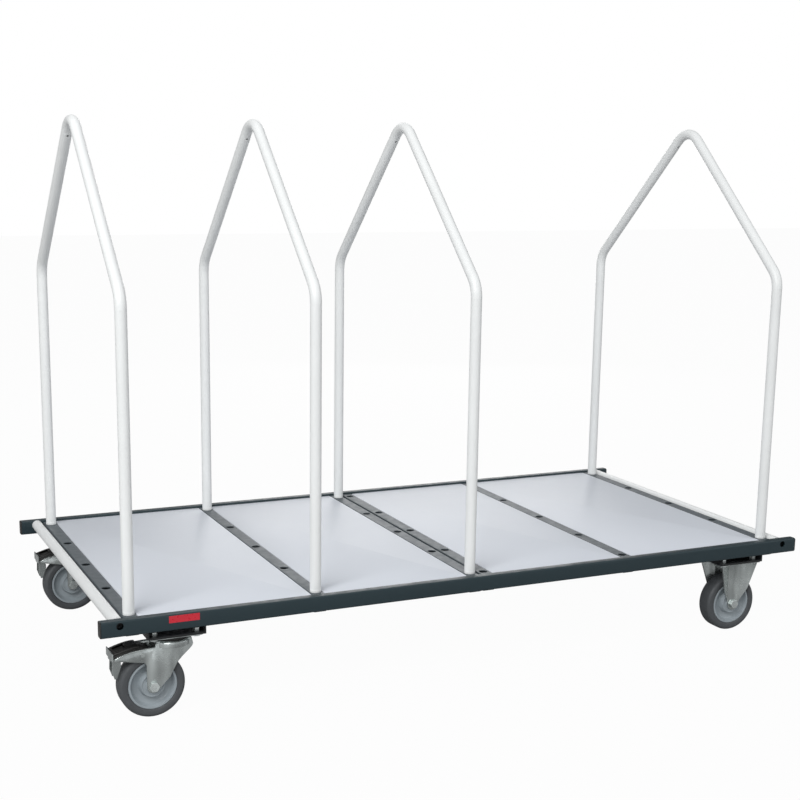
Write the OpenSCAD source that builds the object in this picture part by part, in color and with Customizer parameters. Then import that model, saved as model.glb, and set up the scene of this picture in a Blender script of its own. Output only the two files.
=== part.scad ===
// Mattress trolley: a flat base frame on four castors, with four plug-in tube hoops
// that keep standing mattresses apart.
// Frame: X runs along the trolley (swivel castors at -X), Y across it, Z up.
// The origin lies on the floor under the middle of the base. All sizes are millimetres.

/* [Base frame] */
// Overall length of the base over the rail end caps
base_len = 1560; // [1300:10:2000]
// Overall width of the base over the side rails
base_wid = 790; // [600:2:1000]
// Width of a side rail
rail_w = 20; // [18:1:30]
// Height of a side rail
rail_h = 30; // [28:1:40]
// Wall of the side rails
rail_wall = 2; // [1.5:0.5:3]
// Visible thickness of a rail end cap
cap_t = 2; // [1:0.5:4]
// Length of the plug of an end cap inside the rail
cap_plug_len = 14; // [8:1:20]
// How far the deck lies below the top of the rails
deck_drop = 4; // [2:0.5:7]
// Width of a cross member
member_w = 26; // [24:1:30]
// Height of a cross member
member_h = 33; // [30:1:38]
// Wall of the cross members
member_wall = 2; // [1.5:0.5:3]
// Distance of the second and fifth cross members from the middle
mid_member_x = 351; // [300:1:400]
// Gap between the two middle cross members
pair_gap = 5; // [3:1:12]

/* [Sockets] */
// Distance of the outermost sockets from the inner face of the rail
socket_inset = 25; // [15:1:40]
// Sockets on each side of the middle one
sockets_per_side = 2; // [1:1:4]
// Diameter of the hole that takes a hoop
socket_d = 18; // [16:0.5:18.5]

/* [End tubes] */
// Diameter of the end tubes
end_tube_d = 22; // [18:1:26]
// Wall of the end tubes
end_tube_wall = 2; // [1.5:0.5:3]
// Distance of an end tube's axis from the end of the base
end_tube_inset = 36; // [30:1:50]
// Depth of an end tube's axis below the top of the rails
end_tube_drop = 10; // [10:0.5:14]
// Gap between an end tube and the cross member beside it
end_tube_gap = 3; // [2:0.5:8]
// Length of the threaded plug welded into each end of an end tube
plug_len = 25; // [15:1:40]
// Thread diameter of the bolts that hold the end tubes
tube_bolt_d = 8; // [6:1:10]
// Hole in the outer wall of a rail through which such a bolt goes in
access_d = 13.6; // [13.5:0.1:14]

/* [Deck] */
// Thickness of the deck panels
panel_t = 6; // [4:1:9]
// Gap all round a deck panel
panel_gap = 1; // [0.5:0.5:3]
// Width of the ledges that carry the panels
ledge_w = 15; // [10:1:20]
// Depth of the ledges
ledge_h = 15; // [8:1:16]
// Thickness of the ledges
ledge_t = 2; // [1.5:0.5:3]

/* [Label] */
// Length of the plain label on the near rail
label_len = 58; // [30:1:90]
// Height of the label
label_h = 13.5; // [8:0.5:20]
// Thickness of the label
label_t = 0.4; // [0.2:0.1:1]
// Distance of the label's middle from the end of the base
label_inset = 155; // [100:1:700]
// Distance from the top of the rail to the label
label_drop = 2; // [1:0.5:6]

/* [Hoops] */
// Diameter of the hoop tube
hoop_d = 22; // [20:1:24]
// Wall of the hoop tube
hoop_wall = 1.5; // [1:0.25:2]
// Height of the upright legs above the deck, to the middle of their bends
hoop_leg = 580; // [400:5:900]
// Rise of the gable above the bends of the legs
hoop_rise = 324; // [200:2:340]
// Radius of the bends, at the middle of the tube
bend_r = 55; // [40:1:80]
// Height of the collar below each leg
collar_h = 7; // [4:0.5:12]
// Length of the spigot plug inside the hoop tube
spigot_plug = 40; // [25:1:60]
// Diameter of the vent hole beside the ridge of each hoop
vent_d = 5; // [3:0.5:7]

/* [Castors] */
// Height of a castor from the floor to its mounting face
castor_h = 160; // [140:1:180]
// Room between the top of a wheel and the mounting face
wheel_room = 35; // [33:0.5:45]
// Width of the tyre
tyre_w = 37; // [32:0.5:37.5]
// Thickness of the rubber on the wheel centre
tyre_band = 16; // [12:0.5:20]
// How far the swivel castors trail behind their swivel axis
trail = 40; // [38:1:41]
// Distance of the castors from the end of the base
castor_inset = 142; // [140:1:170]
// Distance of the castors from the side of the base
castor_side = 50; // [49:1:56]
// Length of the castor top plate
plate_l = 105; // [100:1:106]
// Width of the castor top plate
plate_w = 85; // [80:1:86]
// Thickness of the castor top plate
plate_t = 3; // [2:0.5:4]
// Bolt distance along the castor top plate
plate_bolt_x = 80; // [78:1:84]
// Bolt distance across the castor top plate
plate_bolt_y = 60; // [58:1:64]
// Diameter of the castor bolts
plate_bolt_d = 8; // [6:1:8]
// Distance between the two cheeks of a fork
fork_gap = 44; // [43:0.5:46]
// Thickness of the fork cheeks
cheek_t = 3; // [2:0.5:4]
// Diameter of the axle inside the wheel
axle_d = 12; // [10:1:14]
// Diameter of the crown of a swivel fork
crown_d = 76; // [72:1:80]
// Diameter of the kingpin
kingpin_d = 12; // [10:1:14]

/* [Castor brackets] */
// Height of a bracket between the castor and the rail
bracket_h = 15; // [15:1:18]
// Length of a bracket along the rail
bracket_l = 110; // [108:1:114]
// Length of a bracket across the rail
bracket_w = 96; // [94:1:100]
// Thickness of the bracket sheet
bracket_t = 4; // [3:0.5:4]

/* [Brakes] */
// How far a brake pedal tips down
brake_angle = 5; // [3:0.5:6]
// Distance of the brake pivot behind the swivel axis
pivot_back = 60; // [54:1:66]
// Gap between the tyre and the brake pivot pin
pivot_gap = 1.8; // [1:0.1:4]
// Diameter of the brake pivot pin
pivot_d = 5; // [4:0.5:5]
// Thickness of the brake lever sheet
lever_t = 2; // [1.5:0.25:2]
// Thickness of the pedal tread
tread_t = 4; // [3:0.5:4]

/* [Hidden] */
$fn = 64;

// Clearances
run_gap = 0.05; // radial running clearance of a pin in its hole
turn_gap = 0.4; // gap between faces that turn past each other
slip_gap = 0.1; // radial gap of a plug inside a tube
seat_gap = 0.3; // gap under a loose piece that stands on another
spigot_gap = 0.08; // radial clearance of a spigot in its socket

// Heights
wheel_d = castor_h - wheel_room;
wheel_r = wheel_d / 2;
rim_d = wheel_d - 2 * tyre_band;
rail_z = castor_h + bracket_h;
rail_top = rail_z + rail_h;
deck_z = rail_top - deck_drop;

// Places along and across the base
inner_wid = base_wid - 2 * rail_w;
leg_y = inner_wid / 2 - socket_inset;
socket_pitch = leg_y / sockets_per_side;
rail_y = (base_wid - rail_w) / 2;
end_tube_x = base_len / 2 - end_tube_inset;
end_tube_z = rail_top - end_tube_drop;
end_member_x = end_tube_x - end_tube_d / 2 - end_tube_gap - member_w / 2;
pair_x = (member_w + pair_gap) / 2;
member_places = [-end_member_x, -mid_member_x, -pair_x, pair_x, mid_member_x, end_member_x];
castor_x = base_len / 2 - castor_inset;
castor_y = base_wid / 2 - castor_side;
label_x = base_len / 2 - label_inset;
hoop_places = [member_places[0], member_places[1], member_places[2], member_places[5]];

// Panel bays, each between two cross members
bays = [[0, 1], [1, 2], [3, 4], [4, 5]];
ledge_z = deck_z - panel_t;

// Fasteners
tube_bolt_head_d = 1.6 * tube_bolt_d;
tube_bolt_head_h = tube_bolt_d;
nut_af = 1.625 * plate_bolt_d;
nut_h = 0.8 * plate_bolt_d;
head_d = 2 * plate_bolt_d;
head_h = 3;
spigot_d = socket_d - 2 * spigot_gap;
bolt_end = 1.5;
bolt_hole_d = plate_bolt_d + 1;

// Castor heights, from the mounting face down
race_h = 4;
ring_h = 3;
plate_z = castor_h - plate_t;
race_z = plate_z - race_h;
ring_z = race_z - ring_h;
crown_z = ring_z - turn_gap;
crown_t = 4;
crown_skirt = 12.5;
kingpin_head_h = 4;
axle_bolt_d = axle_d - 2;
axle_head_af = 17;
axle_head_h = 6;
hub_d = 44;
hub_w = fork_gap - 2 * 0.5;
rim_w = tyre_w - 3;
rim_lip = 4.5;
web_t = 7;
foot_r = 12.5;

// Brake, in the frame of its swivel axis
arm_past = 9.5; // how far the brake arm reaches past the tyre
arm_end = trail + wheel_r + arm_past;
pivot_z = wheel_r + sqrt(wheel_r * wheel_r - pow(pivot_back - trail, 2)) + pivot_gap + pivot_d / 2;
tread_half = fork_gap / 2 - 1.5;
tread_wall = 2;
lever_half = tread_half - tread_wall;
lever_front = -arm_end - 2;
brake_gap = 1.25; // gap between shoe and tyre that is left when the brake is on
lever_top = [[lever_front, 3], [-pivot_back - 20, 12.5], [-pivot_back - 5, 13]];
lip_top = 9; // top of the lever's front plate above the pivot

// Hoop bends
slope = atan(hoop_rise / leg_y);
shoulder_cut = bend_r * tan((90 - slope) / 2);
ridge_cut = bend_r * tan(slope);
gable_len = hoop_rise / sin(slope);
bend_step = 0.1; // bends are this much fuller than the straight tube, so that the pieces join
bend_lap = 1; // straight tube runs this far into a bend

// Straight box between two corners
module block(low, high) {
    translate(low)
        cube(high - low);
}

// Closed rectangular tube along X, centred on x = 0
module box_tube_x(len, w, h, wall) {
    difference() {
        block([-len / 2, -w / 2, 0], [len / 2, w / 2, h]);
        block([-len / 2 - 1, -w / 2 + wall, wall], [len / 2 + 1, w / 2 - wall, h - wall]);
    }
}

// Round bar along Y that starts at y
module bar_y(x, y, z, d, len) {
    translate([x, y, z])
        rotate([-90, 0, 0])
            cylinder(d = d, h = len);
}

// Hexagon prism along Z
module hexagon(af, h) {
    cylinder(d = af / cos(30), h = h, $fn = 6);
}

// Points of an arc about (cx, cz) from angle a to angle b
function arc(cx, cz, r, a, b, steps = 8) =
    [for (i = [0:steps]) let (t = a + (b - a) * i / steps) [cx + r * cos(t), cz + r * sin(t)]];

// Plate with an outline in X and Z, thick along Y from y0 to y1
module plate_xz(points, y0, y1) {
    translate([0, y1, 0])
        rotate([90, 0, 0])
            linear_extrude(height = y1 - y0)
                polygon(points);
}

// Side rails: tube with an access hole outside and a bolt hole inside at each end
module rail(side) {
    color("#39424b")
        difference() {
            translate([0, side * rail_y, rail_z])
                box_tube_x(base_len - 2 * cap_t, rail_w, rail_h, rail_wall);
            if (side < 0)
                label_place(1);
            for (end = [-1, 1]) {
                outer = base_wid / 2 - rail_wall - 0.5;
                inner = inner_wid / 2 - 0.5;
                bar_y(end * end_tube_x, side > 0 ? outer : -outer - rail_wall - 1, end_tube_z, access_d,
                    rail_wall + 1);
                bar_y(end * end_tube_x, side > 0 ? inner : -inner - rail_wall - 1, end_tube_z,
                    tube_bolt_d + 0.4, rail_wall + 1);
            }
        }
}
module near_rail() {
    rail(-1);
}
module far_rail() {
    rail(1);
}

// Plastic caps in the four rail ends
module rail_end_caps() {
    plug_w = rail_w - 2 * rail_wall - 2 * slip_gap;
    plug_h = rail_h - 2 * rail_wall - 2 * slip_gap;
    color("#1b1d1f")
        for (end = [-1, 1], side = [-1, 1])
            translate([end * (base_len / 2 - cap_t), side * rail_y, rail_z + rail_h / 2])
                mirror([end < 0 ? 1 : 0, 0, 0]) {
                    block([0, -rail_w / 2, -rail_h / 2], [cap_t, rail_w / 2, rail_h / 2]);
                    block([-cap_plug_len, -plug_w / 2, -plug_h / 2], [0, plug_w / 2, plug_h / 2]);
                }
}

// End tubes: round tube across each end, with a threaded plug welded into both ends
module end_tube(end) {
    color("#d4d7d6")
        difference() {
            bar_y(end * end_tube_x, -inner_wid / 2, end_tube_z, end_tube_d, inner_wid);
            bar_y(end * end_tube_x, -inner_wid / 2 + plug_len, end_tube_z,
                end_tube_d - 2 * end_tube_wall, inner_wid - 2 * plug_len);
            for (side = [-1, 1])
                bar_y(end * end_tube_x, side * (inner_wid / 2 - plug_len / 2 + 0.5) - plug_len / 2 - 0.5,
                    end_tube_z, tube_bolt_d + 2 * slip_gap, plug_len + 1);
        }
}
module left_end_tube() {
    end_tube(-1);
}
module right_end_tube() {
    end_tube(1);
}

// Socket-head bolts that pull the rails onto the end tubes
module end_tube_bolts() {
    head_y = inner_wid / 2 + rail_wall;
    color("#141516")
        for (end = [-1, 1], side = [-1, 1])
            translate([end * end_tube_x, side * head_y, end_tube_z])
                rotate([-90 * side, 0, 0]) {
                    difference() {
                        cylinder(d = tube_bolt_head_d, h = tube_bolt_head_h);
                        translate([0, 0, tube_bolt_head_h / 2])
                            hexagon(0.75 * tube_bolt_d, tube_bolt_head_h);
                    }
                    translate([0, 0, -rail_wall - plug_len + 3])
                        cylinder(d = tube_bolt_d, h = rail_wall + plug_len - 3);
                }
}

// Cross members: rectangular tube with a row of sockets through both walls
module cross_member(x) {
    color("#4a535b")
        difference() {
            translate([x, 0, deck_z - member_h])
                rotate([0, 0, 90])
                    box_tube_x(inner_wid, member_w, member_h, member_wall);
            for (i = [-sockets_per_side:sockets_per_side])
                translate([x, i * socket_pitch, deck_z - member_h - 1])
                    cylinder(d = socket_d, h = member_h + 2);
        }
}

// Deck panels: one loose panel in each bay, lying on the ledges
module deck_panel(bay) {
    x0 = member_places[bays[bay][0]] + member_w / 2 + panel_gap;
    x1 = member_places[bays[bay][1]] - member_w / 2 - panel_gap;
    y = inner_wid / 2 - panel_gap;
    color("#cdd3da")
        block([x0, -y, ledge_z], [x1, y, deck_z]);
}

// Ledges: an angle strip along each panel edge, welded to the cross member
module ledge(x, way) {
    y = inner_wid / 2 - 3 * panel_gap;
    translate([x, 0, ledge_z])
        mirror([way < 0 ? 1 : 0, 0, 0]) {
            block([0, -y, -ledge_t], [ledge_w, y, 0]);
            block([0, -y, -ledge_h], [ledge_t, y, -ledge_t]);
        }
}
module panel_ledges() {
    color("#3f474e")
        for (bay = bays) {
            ledge(member_places[bay[0]] + member_w / 2, 1);
            ledge(member_places[bay[1]] - member_w / 2, -1);
        }
}

// Castor brackets: a channel under the rail, with a back flange welded to the end cross member
module bracket(end, side) {
    flange_t = bracket_t - 1;
    near = base_wid / 2 - 3;
    far = near - bracket_w;
    member_face = end_member_x - member_w / 2;
    back_top = ledge_z - ledge_h - 1;
    color("#17191b")
        mirror([end < 0 ? 1 : 0, 0, 0])
            mirror([0, side < 0 ? 1 : 0, 0])
                difference() {
                    union() {
                        block([castor_x - bracket_l / 2, far, castor_h],
                            [castor_x + bracket_l / 2, near, castor_h + bracket_t]);
                        for (x = [castor_x - bracket_l / 2, castor_x + bracket_l / 2 - flange_t])
                            block([x, far, castor_h + bracket_t], [x + flange_t, near, rail_z]);
                        block([castor_x - bracket_l / 2, far, castor_h + bracket_t],
                            [member_face, far + flange_t, back_top]);
                    }
                    for (dx = [-1, 1], dy = [-1, 1])
                        translate([castor_x + dx * plate_bolt_x / 2, castor_y + dy * plate_bolt_y / 2,
                            castor_h - 1])
                            cylinder(d = bolt_hole_d, h = bracket_t + 2);
                }
}
module near_left_bracket() {
    bracket(-1, -1);
}
module far_left_bracket() {
    bracket(-1, 1);
}
module near_right_bracket() {
    bracket(1, -1);
}
module far_right_bracket() {
    bracket(1, 1);
}

// Castor bolts: flat round head below, nut on the bracket, sixteen in all
module castor_bolts() {
    nut_z = castor_h + bracket_t;
    color("#b9bdbe")
        for (end = [-1, 1], side = [-1, 1], dx = [-1, 1], dy = [-1, 1])
            translate([end * castor_x + dx * plate_bolt_x / 2, side * castor_y + dy * plate_bolt_y / 2, 0]) {
                translate([0, 0, plate_z - head_h])
                    cylinder(d = head_d, h = head_h);
                translate([0, 0, plate_z])
                    cylinder(d = plate_bolt_d, h = nut_z + nut_h + bolt_end - plate_z);
                translate([0, 0, nut_z])
                    hexagon(nut_af, nut_h);
            }
}

// Plain label, let into the outside of the near rail
module label_place(over) {
    block([-label_x - label_len / 2, -base_wid / 2 - over, rail_top - label_drop - label_h],
        [-label_x + label_len / 2, -base_wid / 2 + label_t, rail_top - label_drop]);
}
module label_plate() {
    color("#b3202a")
        label_place(0);
}

// Hoops: one bent tube with two upright legs and a gable top
module tube_piece(len) {
    difference() {
        cylinder(d = hoop_d, h = len);
        translate([0, 0, -1])
            cylinder(d = hoop_d - 2 * hoop_wall, h = len + 2);
    }
}
module tube_bend(start, angle) {
    rotate([0, 0, 90])
        rotate([90, 0, 0])
            rotate([0, 0, start])
                rotate_extrude(angle = angle, $fn = 96)
                    translate([bend_r, 0])
                        difference() {
                            circle(d = hoop_d + 2 * bend_step, $fn = 48);
                            circle(d = hoop_d - 2 * hoop_wall - 2 * bend_step, $fn = 48);
                        }
}
module hoop_side() {
    leg_top = hoop_leg - shoulder_cut;
    translate([0, leg_y, collar_h])
        tube_piece(leg_top - collar_h + bend_lap);
    translate([0, leg_y - bend_r, leg_top])
        tube_bend(0, 90 - slope);
    translate([0, leg_y, hoop_leg])
        rotate([90 - slope, 0, 0])
            translate([0, 0, shoulder_cut - bend_lap])
                tube_piece(gable_len - shoulder_cut - ridge_cut + 2 * bend_lap);
}
module hoop(place) {
    ridge_z = hoop_leg + hoop_rise;
    color("#d7dada")
        translate([place, 0, deck_z])
            difference() {
                union() {
                    hoop_side();
                    mirror([0, 1, 0])
                        hoop_side();
                    translate([0, 0, ridge_z - bend_r / cos(slope)])
                        tube_bend(90 - slope, 2 * slope);
                }
                translate([0, 0, ridge_z])
                    rotate([-90 - slope, 0, 0])
                        translate([0, 0, ridge_cut + 2 * vent_d])
                            rotate([-90, 0, 0])
                                cylinder(d = vent_d, h = hoop_d);
            }
}

// Spigots: collar under each leg, with a plug up into the tube and a spigot down into the socket
module hoop_spigots(place) {
    color("#c2c6c6")
        for (side = [-1, 1])
            translate([place, side * leg_y, deck_z]) {
                translate([0, 0, -member_h])
                    cylinder(d = spigot_d, h = member_h + seat_gap);
                translate([0, 0, seat_gap])
                    cylinder(d = hoop_d, h = collar_h - seat_gap);
                translate([0, 0, collar_h])
                    cylinder(d = hoop_d - 2 * hoop_wall - 2 * slip_gap, h = spigot_plug);
            }
}

// Castor top plate with its upper race and the bore for the kingpin
module castor_plate(y) {
    color("#aeb3b4")
        translate([-castor_x, y, 0])
            difference() {
                union() {
                    block([-plate_l / 2, -plate_w / 2, plate_z], [plate_l / 2, plate_w / 2, castor_h]);
                    translate([0, 0, race_z])
                        cylinder(d = crown_d - 16, h = race_h);
                }
                for (dx = [-1, 1], dy = [-1, 1])
                    translate([dx * plate_bolt_x / 2, dy * plate_bolt_y / 2, plate_z - 1])
                        cylinder(d = bolt_hole_d, h = plate_t + 2);
                translate([0, 0, race_z - 1])
                    cylinder(d = kingpin_d, h = castor_h - race_z + 2);
            }
}

// Kingpin riveted into the plate, with its head under the fork crown
module kingpin(y) {
    color("#9ba0a1")
        translate([-castor_x, y, 0]) {
            translate([0, 0, crown_z - crown_t - turn_gap])
                cylinder(d = kingpin_d, h = castor_h - crown_z + crown_t + turn_gap);
            translate([0, 0, crown_z - crown_t - turn_gap - kingpin_head_h])
                cylinder(d = 2 * kingpin_d, h = kingpin_head_h);
        }
}

// Swivel ring: the ball cage and seal under the upper race
module swivel_ring(y) {
    color("#2a2c2d")
        translate([-castor_x, y, ring_z])
            difference() {
                cylinder(d = crown_d - 8, h = ring_h);
                translate([0, 0, -1])
                    cylinder(d = crown_d / 2, h = ring_h + 2);
            }
}

// Fork of a swivel castor: crown with a turned-down rim and two cheeks with a brake arm
module swivel_fork(y) {
    neck = crown_d / 2 - 2;
    leg_back = -trail - foot_r - 0.5;
    arm_low = pivot_z - 13;
    crown_low = crown_z - crown_skirt;
    outline = concat(
        [[neck - 2, crown_z - crown_t], [neck, crown_low], [neck - 6, crown_low - 9]],
        [[neck - 30, wheel_r + 43], [neck - 44, wheel_r + 15]],
        arc(-trail, wheel_r, foot_r, -20, -180, 12),
        arc(leg_back - 6, arm_low - 6, 6, 0, 90, 4),
        [[-arm_end, pivot_z - 5.5], [-arm_end, pivot_z - 0.5], [-arm_end + 20, pivot_z + 7]],
        [[-arm_end + 42, pivot_z + 11], [-neck + 4, pivot_z + 12], [-neck + 4, crown_z - crown_t]]);
    color("#9aa0a0")
        translate([-castor_x, y, 0])
            difference() {
                union() {
                    difference() {
                        translate([0, 0, crown_low])
                            cylinder(d = crown_d, h = crown_skirt);
                        translate([0, 0, crown_low - 1])
                            cylinder(d = crown_d - 2 * cheek_t, h = crown_skirt - crown_t + 1);
                    }
                    for (side = [-1, 1])
                        cheek(outline, side);
                }
                translate([0, 0, crown_z - crown_t - 1])
                    cylinder(d = kingpin_d + 2 * run_gap, h = crown_t + 2);
                bar_y(-trail, -fork_gap, wheel_r, axle_bolt_d, 2 * fork_gap);
                bar_y(-pivot_back, -fork_gap, pivot_z, pivot_d, 2 * fork_gap);
            }
}
module cheek(outline, side) {
    plate_xz(outline, side > 0 ? fork_gap / 2 : -fork_gap / 2 - cheek_t,
        side > 0 ? fork_gap / 2 + cheek_t : -fork_gap / 2);
}

// Fork of a fixed castor: top plate with two tapered legs whose edges flare outwards
module fixed_fork(y) {
    flat_half = 18;
    top_half = 47;
    knee_half = 31;
    knee_rise = 35;
    knee_z = wheel_r + knee_rise;
    taper = 1;
    foot = 14;
    inside = fork_gap / 2;
    flare = 16;
    outline = concat(
        [[top_half, plate_z], [knee_half, knee_z]],
        arc(0, wheel_r, foot, 10, -190, 16),
        [[-knee_half, knee_z], [-top_half, plate_z]]);
    section = [[-flat_half, inside], [flat_half, inside], [top_half + taper, inside + flare],
        [top_half, inside + flare + cheek_t], [flat_half - taper, inside + cheek_t],
        [-flat_half + taper, inside + cheek_t], [-top_half, inside + flare + cheek_t],
        [-top_half - taper, inside + flare]];
    color("#a3a8a8")
        translate([castor_x, y, 0])
            difference() {
                union() {
                    block([-plate_l / 2, -plate_w / 2, plate_z], [plate_l / 2, plate_w / 2, castor_h]);
                    for (side = [-1, 1])
                        mirror([0, side < 0 ? 1 : 0, 0])
                            intersection() {
                                translate([0, 0, wheel_r - foot - 1])
                                    linear_extrude(height = plate_z - wheel_r + foot + 1)
                                        polygon(section);
                                plate_xz(outline, 0, plate_w);
                            }
                }
                for (dx = [-1, 1], dy = [-1, 1])
                    translate([dx * plate_bolt_x / 2, dy * plate_bolt_y / 2, 0]) {
                        translate([0, 0, plate_z - 1])
                            cylinder(d = bolt_hole_d, h = plate_t + 2);
                        translate([0, 0, plate_z - head_h - 1])
                            cylinder(d = head_d + 2, h = head_h + 1);
                    }
                bar_y(0, -fork_gap, wheel_r, axle_bolt_d, 2 * fork_gap);
            }
}

// Axle: bolt through both cheeks, with its spacer tube inside the wheel and its nut outside
module axle(x, y) {
    half = fork_gap / 2;
    color("#c4c8c8")
        translate([x, y, wheel_r]) {
            bar_y(0, -half, 0, axle_d, fork_gap);
            bar_y(0, -half - cheek_t, 0, axle_bolt_d, fork_gap + 2 * cheek_t);
            for (side = [-1, 1])
                translate([0, side * (half + cheek_t), 0])
                    rotate([-90 * side, 0, 0])
                        hexagon(axle_head_af, axle_head_h);
        }
}

// Wheel centre: hub, dished web and rim
module wheel(x, y) {
    r = rim_d / 2;
    lip = r - rim_lip;
    color("#98a1a9")
        translate([x, y, wheel_r])
            rotate([-90, 0, 0])
                rotate_extrude($fn = 96)
                    polygon([
                        [axle_d / 2 + run_gap, -hub_w / 2],
                        [hub_d / 2 - 6, -hub_w / 2],
                        [hub_d / 2, -hub_w / 2 + 6],
                        [hub_d / 2, -web_t],
                        [lip - 3, -web_t / 2],
                        [lip, -rim_w / 2],
                        [r, -rim_w / 2],
                        [r, rim_w / 2],
                        [lip, rim_w / 2],
                        [lip - 3, web_t / 2],
                        [hub_d / 2, web_t],
                        [hub_d / 2, hub_w / 2 - 6],
                        [hub_d / 2 - 6, hub_w / 2],
                        [axle_d / 2 + run_gap, hub_w / 2]]);
}

// Tyre: solid rubber ring with rounded shoulders
module tyre(x, y) {
    shoulder = min(7, tyre_band - 2.5);
    half = tyre_w / 2;
    color("#45484a")
        translate([x, y, wheel_r])
            rotate([-90, 0, 0])
                rotate_extrude($fn = 96)
                    polygon(concat(
                        [[rim_d / 2, -half + 1.5], [rim_d / 2 + 2, -half]],
                        arc(wheel_r - shoulder, -half + shoulder, shoulder, -90, 0, 6),
                        arc(wheel_r - shoulder, half - shoulder, shoulder, 0, 90, 6),
                        [[rim_d / 2 + 2, half], [rim_d / 2, half - 1.5]]));
}

// Brake lever: folded sheet between the fork cheeks, with a front plate, a hanging tongue and a shoe
function lifted(dz) = [for (p = lever_top) [p[0], pivot_z + p[1] + dz]];
function dropped(dz) = [for (i = [len(lever_top) - 1:-1:0]) [lever_top[i][0], pivot_z + lever_top[i][1] + dz]];
module brake_lever(y) {
    shoe_back = 17;
    shoe_half = 3;
    shoe_x = -pivot_back - shoe_back;
    shoe_top = pivot_z + lever_top[1][1] - lever_t / 2;
    shoe_gap = (shoe_back + shoe_half) * sin(brake_angle) + brake_gap;
    shoe_z = wheel_r + sqrt(wheel_r * wheel_r - pow(shoe_x + shoe_half + trail, 2)) + shoe_gap;
    ear = concat(lifted(0),
        [[-pivot_back + 7, pivot_z + 7], [-pivot_back + 5, pivot_z]],
        arc(-pivot_back, pivot_z, 4.5, 0, -100, 6),
        [[lever_front, pivot_z - 5]]);
    tongue = [[lever_front + 1, pivot_z - 6], [lever_front, pivot_z - 30], [lever_front + 5, pivot_z - 45],
        [lever_front + 9, pivot_z - 44], [lever_front + 17, pivot_z - 22],
        [lever_front + 17, pivot_z - 14], [lever_front + 13, pivot_z - 6]];
    color("#8f9595")
        translate([-castor_x, y, 0])
            difference() {
                union() {
                    for (side = [-1, 1])
                        plate_xz(ear, side > 0 ? lever_half - lever_t : -lever_half,
                            side > 0 ? lever_half : -lever_half + lever_t);
                    plate_xz(concat(lifted(0), dropped(-lever_t)), -lever_half, lever_half);
                    block([lever_front - lever_t, -fork_gap / 2 - 2, pivot_z - 6],
                        [lever_front, fork_gap / 2 + 2, pivot_z + lip_top]);
                    block([lever_front - lever_t, -11, pivot_z - 9], [lever_front + 12, 11, pivot_z - 5]);
                    for (side = [-1, 1])
                        plate_xz(tongue, side > 0 ? 9 : -11, side > 0 ? 11 : -9);
                    block([shoe_x - shoe_half, -lever_half + lever_t, shoe_z],
                        [shoe_x + shoe_half, lever_half - lever_t, shoe_top]);
                }
                bar_y(-pivot_back, -fork_gap, pivot_z, pivot_d + 2 * run_gap, 2 * fork_gap);
            }
}

// Pedal tread: plastic cover over the top and sides of the lever
module brake_tread(y) {
    side_wall = concat(lifted(0),
        [[-pivot_back + 14, pivot_z + 8], [-pivot_back + 14, pivot_z + 4], [-pivot_back, pivot_z + 4]],
        [[lever_front, pivot_z - 2]]);
    color("#1a1c1c")
        translate([-castor_x, y, 0]) {
            plate_xz(concat(lifted(tread_t), dropped(0)), -tread_half, tread_half);
            for (side = [-1, 1])
                plate_xz(side_wall, side > 0 ? lever_half : -tread_half, side > 0 ? tread_half : -lever_half);
        }
}

// Rivet that the brake lever turns on
module brake_pin(y) {
    half = fork_gap / 2 + cheek_t;
    color("#d5d8d8")
        translate([-castor_x - pivot_back, y, pivot_z]) {
            bar_y(0, -half, 0, pivot_d, 2 * half);
            for (side = [-1, 1])
                translate([0, side * half, 0])
                    rotate([-90 * side, 0, 0])
                        cylinder(d = pivot_d + 3, h = 1.5);
        }
}

near_rail();
far_rail();
rail_end_caps();
left_end_tube();
right_end_tube();
end_tube_bolts();
cross_member(member_places[0]);  // cross_member_1
cross_member(member_places[1]);  // cross_member_2
cross_member(member_places[2]);  // cross_member_3
cross_member(member_places[3]);  // cross_member_4
cross_member(member_places[4]);  // cross_member_5
cross_member(member_places[5]);  // cross_member_6
deck_panel(0);  // deck_panel_1
deck_panel(1);  // deck_panel_2
deck_panel(2);  // deck_panel_3
deck_panel(3);  // deck_panel_4
panel_ledges();
near_left_bracket();
far_left_bracket();
near_right_bracket();
far_right_bracket();
castor_bolts();
label_plate();
hoop(hoop_places[0]);  // hoop_1
hoop(hoop_places[1]);  // hoop_2
hoop(hoop_places[2]);  // hoop_3
hoop(hoop_places[3]);  // hoop_4
hoop_spigots(hoop_places[0]);  // hoop_1_spigots
hoop_spigots(hoop_places[1]);  // hoop_2_spigots
hoop_spigots(hoop_places[2]);  // hoop_3_spigots
hoop_spigots(hoop_places[3]);  // hoop_4_spigots
castor_plate(-castor_y);  // near_left_castor_plate
kingpin(-castor_y);  // near_left_kingpin
swivel_ring(-castor_y);  // near_left_swivel_ring
swivel_fork(-castor_y);  // near_left_fork
axle(-castor_x - trail, -castor_y);  // near_left_axle
wheel(-castor_x - trail, -castor_y);  // near_left_wheel
tyre(-castor_x - trail, -castor_y);  // near_left_tyre
brake_lever(-castor_y);  // near_left_brake_lever
brake_tread(-castor_y);  // near_left_brake_tread
brake_pin(-castor_y);  // near_left_brake_pin
castor_plate(castor_y);  // far_left_castor_plate
kingpin(castor_y);  // far_left_kingpin
swivel_ring(castor_y);  // far_left_swivel_ring
swivel_fork(castor_y);  // far_left_fork
axle(-castor_x - trail, castor_y);  // far_left_axle
wheel(-castor_x - trail, castor_y);  // far_left_wheel
tyre(-castor_x - trail, castor_y);  // far_left_tyre
brake_lever(castor_y);  // far_left_brake_lever
brake_tread(castor_y);  // far_left_brake_tread
brake_pin(castor_y);  // far_left_brake_pin
fixed_fork(-castor_y);  // near_right_fork
axle(castor_x, -castor_y);  // near_right_axle
wheel(castor_x, -castor_y);  // near_right_wheel
tyre(castor_x, -castor_y);  // near_right_tyre
fixed_fork(castor_y);  // far_right_fork
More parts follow.
